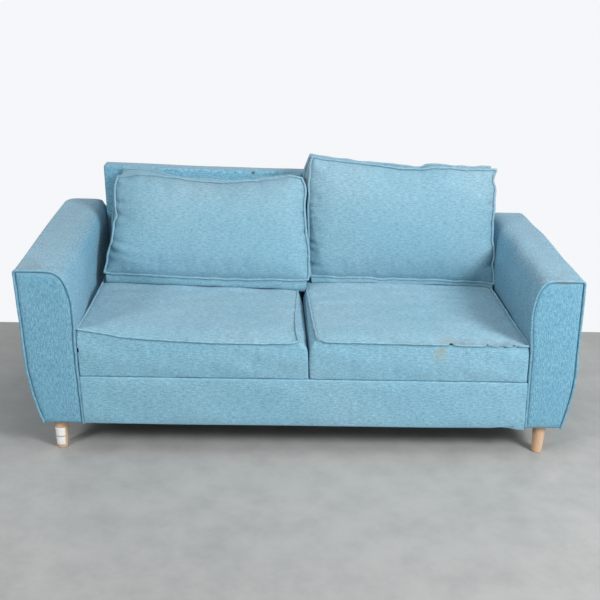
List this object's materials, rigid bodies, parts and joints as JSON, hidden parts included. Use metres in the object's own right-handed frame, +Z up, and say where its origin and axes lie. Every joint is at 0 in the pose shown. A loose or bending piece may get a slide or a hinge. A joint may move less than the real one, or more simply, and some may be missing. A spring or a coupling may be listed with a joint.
{
  "type": "sofa",
  "caption": "Worn upholstered sofa with padded arms, loose box seat cushions, leaning back cushions and turned wooden legs, built on a bolted timber frame with zigzag springs",
  "frame": {"origin": "on the floor under the middle of the sofa, at the bottom centre of its bounding box", "axes": "+X runs along the sofa to the right as seen from the front, +Y from the front to the outside back, +Z up"},
  "size_m": [1.8, 0.85, 0.8684],
  "materials": {
    "cover_fabric": "light teal-blue flat woven upholstery, faded and dusty",
    "cushion_fabric": "light teal-blue flat woven upholstery with welt piping, stained and frayed",
    "beech": "clear satin lacquer",
    "frame_timber": "sawn softwood",
    "plywood": "sanded plywood",
    "steel": "zinc plated",
    "felt": "needled felt",
    "webbing": "elastic webbing",
    "dust_lining": "thin non-woven lining"
  },
  "bodies": {
    "root": {"arm_bolt_front_left": "steel", "arm_bolt_front_right": "steel", "arm_bolt_rear_left": "steel", "arm_bolt_rear_right": "steel", "arm_left_bottom_board": "frame_timber", "arm_left_cover": "cover_fabric", "arm_left_front_board": "plywood", "arm_left_inner_rail": "frame_timber", "arm_left_rear_board": "plywood", "arm_left_top_rail": "frame_timber", "arm_right_bottom_board": "frame_timber", "arm_right_cover": "cover_fabric", "arm_right_front_board": "plywood", "arm_right_inner_rail": "frame_timber", "arm_right_rear_board": "plywood", "arm_right_top_rail": "frame_timber", "back_centre_post": "frame_timber", "back_cover": "cover_fabric", "back_cushion_left": "cushion_fabric", "back_cushion_right": "cushion_fabric", "back_lower_rail": "frame_timber", "back_post_left": "frame_timber", "back_post_right": "frame_timber", "back_top_rail": "frame_timber", "back_webbing_strap_1": "webbing", "back_webbing_strap_2": "webbing", "back_webbing_strap_3": "webbing", "back_webbing_strap_4": "webbing", "centre_stretcher": "frame_timber", "dust_cover": "dust_lining", "front_border": "cover_fabric", "front_rail": "frame_timber", "leg_front_left": "beech", "leg_front_right": "beech", "leg_rear_left": "beech", "leg_rear_right": "beech", "leg_stud_front_left": "steel", "leg_stud_front_right": "steel", "leg_stud_rear_left": "steel", "leg_stud_rear_right": "steel", "leg_tee_nut_front_left": "steel", "leg_tee_nut_front_right": "steel", "leg_tee_nut_rear_left": "steel", "leg_tee_nut_rear_right": "steel", "outside_back_panel": "cover_fabric", "rear_rail": "frame_timber", "seat_cushion_left": "cushion_fabric", "seat_cushion_right": "cushion_fabric", "seat_deck_pad": "felt", "seat_spring_1": "steel", "seat_spring_2": "steel", "seat_spring_3": "steel", "seat_spring_4": "steel", "seat_spring_5": "steel", "seat_spring_6": "steel", "seat_spring_7": "steel", "seat_spring_8": "steel", "side_rail_left": "frame_timber", "side_rail_right": "frame_timber"}
  },
  "joints": []
}
